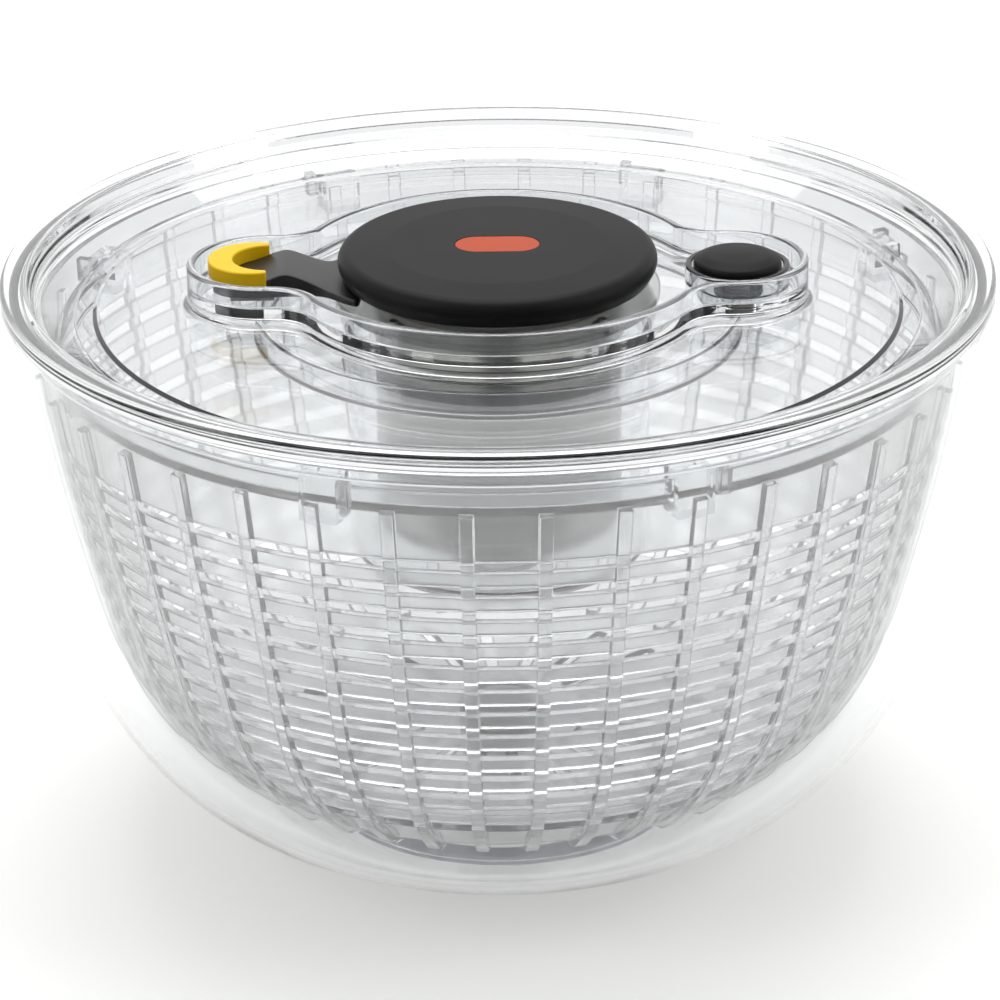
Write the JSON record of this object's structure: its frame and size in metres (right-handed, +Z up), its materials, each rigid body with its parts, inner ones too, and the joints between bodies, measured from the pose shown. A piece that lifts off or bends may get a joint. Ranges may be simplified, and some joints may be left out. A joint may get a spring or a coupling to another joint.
{
  "type": "salad spinner",
  "caption": "Pump-driven salad spinner: clear bowl, slotted basket that spins inside it, clear lid with a plunger knob, a latch and a brake button.",
  "frame": {"origin": "on the axis of spin, at the underside of the foot ring", "axes": "+Z up along the axis of spin; -Y is the front, +X the brake button, -X the latch"},
  "size_m": [0.2681, 0.2682, 0.1655],
  "materials": {
    "clear_shell": "clear moulded SAN, polished",
    "foot_rubber": "soft translucent grey",
    "bearing_plastic": "white acetal",
    "basket_plastic": "natural translucent polypropylene",
    "housing_plastic": "white translucent, satin",
    "steel": "bright zinc plated",
    "spring_steel": "plain drawn wire",
    "knob_black": "soft-touch black, satin",
    "accent_coral": "coral red, smooth",
    "core_beige": "light grey-beige",
    "natural_plastic": "cream-white acetal",
    "latch_black": "black, fine satin",
    "latch_yellow": "yellow moulded grip",
    "brake_rubber": "black rubber"
  },
  "bodies": {
    "bowl": {"bowl": "clear_shell", "foot_ring": "foot_rubber"},
    "pivot": {"pivot_cap": "bearing_plastic"},
    "basket": {"basket": "basket_plastic"},
    "lid": {"lid_cover": "clear_shell", "drive_housing": "housing_plastic", "housing_screws": "steel", "rod_bush": "natural_plastic", "main_spring": "spring_steel", "brake_spring": "spring_steel"},
    "turntable": {"turntable": "clear_shell", "ratchet_ring": "bearing_plastic", "hub_cap": "bearing_plastic"},
    "plunger": {"knob_grip": "knob_black", "knob_core": "core_beige", "knob_inlay": "accent_coral", "plunger_tube": "housing_plastic", "drive_nut": "bearing_plastic", "knob_screws": "steel"},
    "rod": {"spiral_rod": "natural_plastic", "ratchet_driver": "natural_plastic", "rod_washer": "steel", "rod_screw": "steel"},
    "latch": {"latch_arm": "latch_black", "latch_clip": "natural_plastic", "latch_grip": "latch_yellow"},
    "brake": {"brake_button": "latch_black", "brake_stem": "natural_plastic", "brake_pad": "brake_rubber"}
  },
  "joints": [
    {"name": "lid_lift", "type": "slide", "parent": "bowl", "child": "lid", "axis": [0, 0, 1], "range_m": [0, 0.26]},
    {"name": "basket_lift", "type": "slide", "parent": "bowl", "child": "pivot", "axis": [0, 0, 1], "range_m": [0, 0.156]},
    {"name": "basket_spin", "type": "hinge", "parent": "pivot", "child": "basket", "pos_m": [0, 0, 0.02], "axis": [0, 0, 1], "continuous": true},
    {"name": "turntable_spin", "type": "hinge", "parent": "lid", "child": "turntable", "pos_m": [0, 0, 0.079], "axis": [0, 0, 1], "continuous": true},
    {"name": "pump", "type": "slide", "parent": "lid", "child": "plunger", "axis": [0, 0, 1], "range_m": [0, 0.036], "deforming": ["main_spring"]},
    {"name": "rod_spin", "type": "hinge", "parent": "lid", "child": "rod", "pos_m": [0, 0, 0.09], "axis": [0, 0, 1], "range_deg": [-540, 0]},
    {"name": "latch_slide", "type": "slide", "parent": "lid", "child": "latch", "axis": [-1, 0, 0], "range_m": [0, 0.003]},
    {"name": "brake_press", "type": "slide", "parent": "lid", "child": "brake", "axis": [0, 0, -1], "range_m": [0, 0.003], "stiffness_N_per_m": 400, "deforming": ["brake_spring"]}
  ],
  "couplings": [
    {"joint": "basket_lift", "follows": "lid_lift", "ratio": 0.6},
    {"joint": "basket_spin", "follows": "turntable_spin", "ratio": 1},
    {"joint": "rod_spin", "follows": "pump", "rad_per_m": -261.8}
  ]
}
